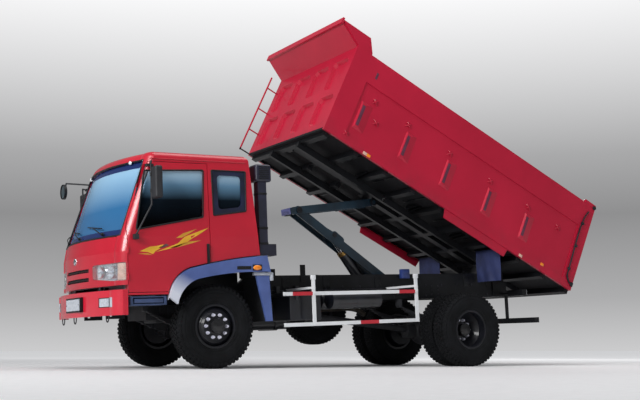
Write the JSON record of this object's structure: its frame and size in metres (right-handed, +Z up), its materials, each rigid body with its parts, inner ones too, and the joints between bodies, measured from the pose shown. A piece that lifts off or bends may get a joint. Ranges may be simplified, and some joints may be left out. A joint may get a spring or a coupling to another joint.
{
  "type": "dump truck",
  "caption": "Two-axle forward-cab dump truck with a tilting cab, steered front wheels, twin rear wheels and a steel body raised by an under-body arm hoist.",
  "frame": {"origin": "on the ground, at the centre of the raised truck's bounding box", "axes": "+X rearward, +Y to the truck's right, +Z up"},
  "size_m": [8.2068, 2.85, 4.845],
  "materials": {
    "body_red": "gloss red paint",
    "cab_red": "gloss red paint",
    "flap": "soft blue-grey rubber",
    "frame_black": "semi-gloss blue-black paint",
    "glass": "blue tinted glass",
    "guard_violet": "pale violet-grey paint",
    "guard_white": "white paint with red bands",
    "lamp": "clear lamp lens over a bright reflector",
    "rod_steel": "ground steel",
    "trim": "dark plastic",
    "tyre": "black rubber",
    "wheel_dark": "dark satin paint, white nuts"
  },
  "bodies": {
    "chassis": {"chassis_frame": "frame_black", "subframe": "frame_black", "engine": "frame_black", "front_axle": "frame_black", "rear_axle": "frame_black", "front_bumper": "cab_red", "front_lamps": "lamp", "front_steps": "guard_violet", "front_guards": "guard_violet", "air_intake": "trim", "tanks": "frame_black", "spare_wheel": "tyre", "side_guards": "guard_white", "rear_bar": "frame_black"},
    "cab": {"cab_shell": "cab_red", "cab_glass": "glass", "headlamps": "lamp", "cab_interior": "trim", "round_mirror": "trim"},
    "door_l": {"door_left": "cab_red", "door_glass_left": "glass", "mirror_left": "trim"},
    "door_r": {"door_right": "cab_red", "door_glass_right": "glass", "mirror_right": "trim"},
    "knuckle_l": {"knuckle_left": "frame_black"},
    "knuckle_r": {"knuckle_right": "frame_black"},
    "steering_rod": {"track_rod": "frame_black"},
    "front_wheel_l": {"front_rim_left": "wheel_dark", "front_tyre_left": "tyre"},
    "front_wheel_r": {"front_rim_right": "wheel_dark", "front_tyre_right": "tyre"},
    "rear_wheels_l": {"rear_rims_left": "wheel_dark", "rear_tyres_left": "tyre"},
    "rear_wheels_r": {"rear_rims_right": "wheel_dark", "rear_tyres_right": "tyre"},
    "load_body": {"tipping_body": "body_red", "body_frame": "frame_black", "ladder": "body_red", "rear_flaps": "flap"},
    "gate": {"tailgate": "body_red"},
    "lever": {"hoist_lever": "frame_black"},
    "arm": {"hoist_arm": "frame_black"},
    "barrel": {"ram_barrel": "frame_black"},
    "rod": {"ram_rod": "rod_steel"}
  },
  "joints": [
    {"name": "cab_tilt", "type": "hinge", "parent": "chassis", "child": "cab", "pos_m": [-3.8581, 0, 0.97913], "axis": [0, -1, 0], "range_deg": [0, 42]},
    {"name": "door_left_open", "type": "hinge", "parent": "cab", "child": "door_l", "pos_m": [-3.77488, -1.154, 1.44357], "axis": [0.0471, 0, -0.9989], "range_deg": [0, 70]},
    {"name": "door_right_open", "type": "hinge", "parent": "cab", "child": "door_r", "pos_m": [-3.77488, 1.154, 1.44357], "axis": [-0.0471, 0, 0.9989], "range_deg": [0, 70]},
    {"name": "steer_left", "type": "hinge", "parent": "chassis", "child": "knuckle_l", "pos_m": [-2.55535, -0.77, 0.527], "axis": [0, 0, 1], "range_deg": [-33, 33]},
    {"name": "steer_right", "type": "hinge", "parent": "chassis", "child": "knuckle_r", "pos_m": [-2.55535, 0.77, 0.527], "axis": [0, 0, 1], "range_deg": [-33, 33]},
    {"name": "track_rod_pivot", "type": "hinge", "parent": "knuckle_l", "child": "steering_rod", "pos_m": [-2.37835, -0.71, 0.4], "axis": [0, 0, 1], "range_deg": [-33, 33]},
    {"name": "front_wheel_left_spin", "type": "hinge", "parent": "knuckle_l", "child": "front_wheel_l", "pos_m": [-2.55535, -0.932, 0.527], "axis": [0, 1, 0], "continuous": true},
    {"name": "front_wheel_right_spin", "type": "hinge", "parent": "knuckle_r", "child": "front_wheel_r", "pos_m": [-2.55535, 0.932, 0.527], "axis": [0, 1, 0], "continuous": true},
    {"name": "rear_wheels_left_spin", "type": "hinge", "parent": "chassis", "child": "rear_wheels_l", "pos_m": [1.43465, -0.907, 0.527], "axis": [0, 1, 0], "continuous": true},
    {"name": "rear_wheels_right_spin", "type": "hinge", "parent": "chassis", "child": "rear_wheels_r", "pos_m": [1.43465, 0.907, 0.527], "axis": [0, 1, 0], "continuous": true},
    {"name": "bed_tilt", "type": "hinge", "parent": "chassis", "child": "load_body", "pos_m": [2.5307, 0, 1.36752], "axis": [0, 1, 0], "range_deg": [-27.3, 20]},
    {"name": "tailgate_swing", "type": "hinge", "parent": "load_body", "child": "gate", "pos_m": [4.05323, 0, 2.48296], "axis": [0, -1, 0], "range_deg": [0, 60]},
    {"name": "hoist_lever_pivot", "type": "hinge", "parent": "load_body", "child": "lever", "pos_m": [0.44388, 0, 2.43072], "axis": [0, 1, 0], "range_deg": [-25.6, 34.83]},
    {"name": "hoist_arm_pivot", "type": "hinge", "parent": "chassis", "child": "arm", "pos_m": [0.69331, 0, 1.26886], "axis": [0, 1, 0], "range_deg": [-31.6, 23.23]},
    {"name": "ram_foot_pivot", "type": "hinge", "parent": "chassis", "child": "barrel", "pos_m": [0.4523, 0, 1.07229], "axis": [0, 1, 0], "range_deg": [-32.73, 24.06]},
    {"name": "ram_slide", "type": "slide", "parent": "barrel", "child": "rod", "axis": [-0.6283, 0, 0.778], "range_m": [-0.1646, 0.1211]}
  ],
  "couplings": [
    {"joint": "steer_right", "follows": "steer_left", "ratio": 1},
    {"joint": "track_rod_pivot", "follows": "steer_left", "ratio": -1},
    {"joint": "hoist_arm_pivot", "follows": "bed_tilt", "ratio": 1.1464},
    {"joint": "ram_foot_pivot", "follows": "bed_tilt", "ratio": 1.1879},
    {"joint": "ram_slide", "follows": "bed_tilt", "m_per_rad": 0.3413},
    {"joint": "hoist_lever_pivot", "follows": "bed_tilt", "ratio": -1.2648}
  ]
}
